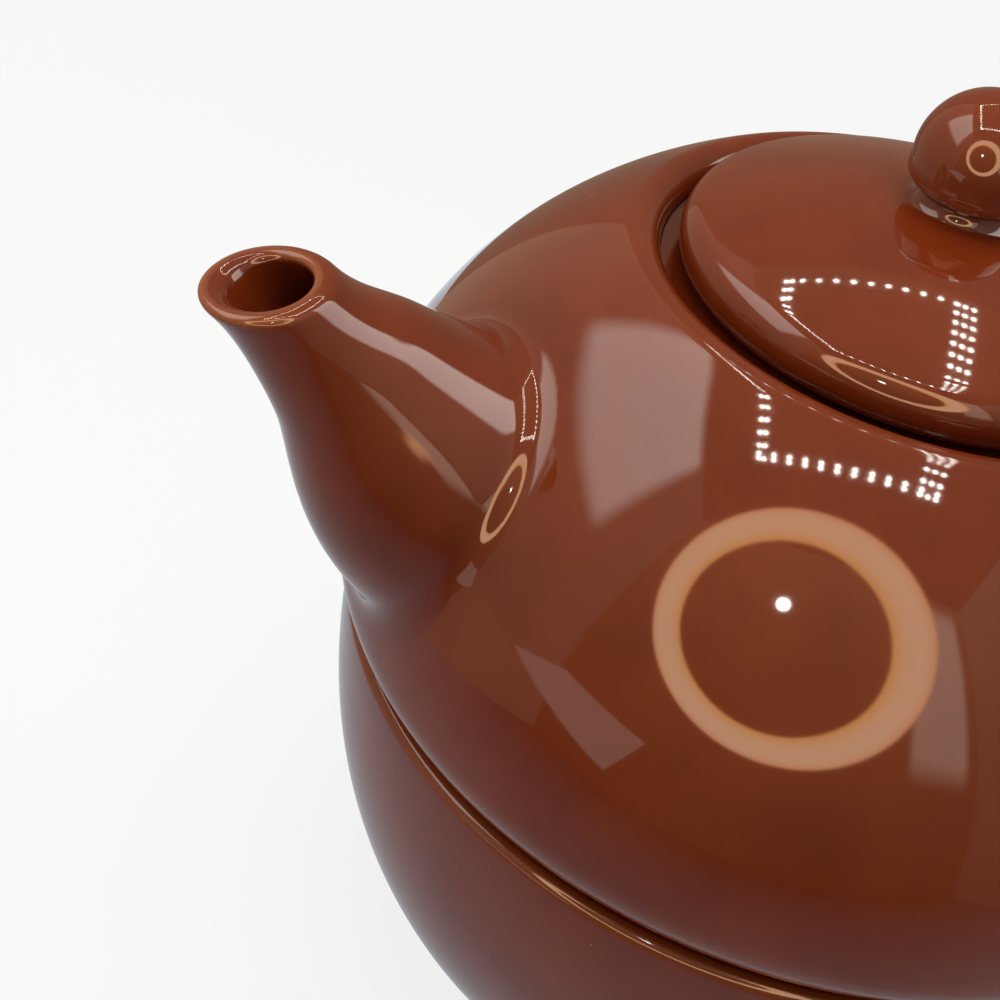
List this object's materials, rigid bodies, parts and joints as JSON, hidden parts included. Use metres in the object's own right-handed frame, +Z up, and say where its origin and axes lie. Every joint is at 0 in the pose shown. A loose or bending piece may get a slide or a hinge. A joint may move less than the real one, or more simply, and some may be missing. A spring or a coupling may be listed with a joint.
{
  "type": "tea for one teapot",
  "caption": "Glazed stoneware teapot that nests on the rim of its own cup, with a tapered spout, ear handles and a loose drop-in lid.",
  "frame": {"origin": "on the table, on the common axis of the cup, pot and lid", "axes": "+Z up along the axis of the cup, pot and lid; spout along -X; both handles along +X"},
  "size_m": [0.1588, 0.1142, 0.1283],
  "materials": {
    "glaze": "glossy chestnut-brown glaze, thinner and lighter along rims and edges",
    "bare_clay": "unglazed buff stoneware, matt and slightly gritty"
  },
  "bodies": {
    "cup": {"cup_bowl": "glaze", "cup_foot_ring": "bare_clay", "cup_handle": "glaze"},
    "pot": {"pot_gallery": "glaze", "pot_shoulder": "glaze", "pot_belly": "glaze", "pot_strainer": "glaze", "pot_foot_ring": "bare_clay", "pot_spout": "glaze", "pot_handle": "glaze"},
    "lid": {"lid_cap": "glaze", "lid_collar": "bare_clay", "lid_knob": "glaze"}
  },
  "joints": [
    {"name": "pot_lift", "type": "slide", "parent": "cup", "child": "pot", "axis": [0, 0, 1], "range_m": [0, 0.08]},
    {"name": "lid_lift", "type": "slide", "parent": "pot", "child": "lid", "axis": [0, 0, 1], "range_m": [0, 0.06]}
  ]
}
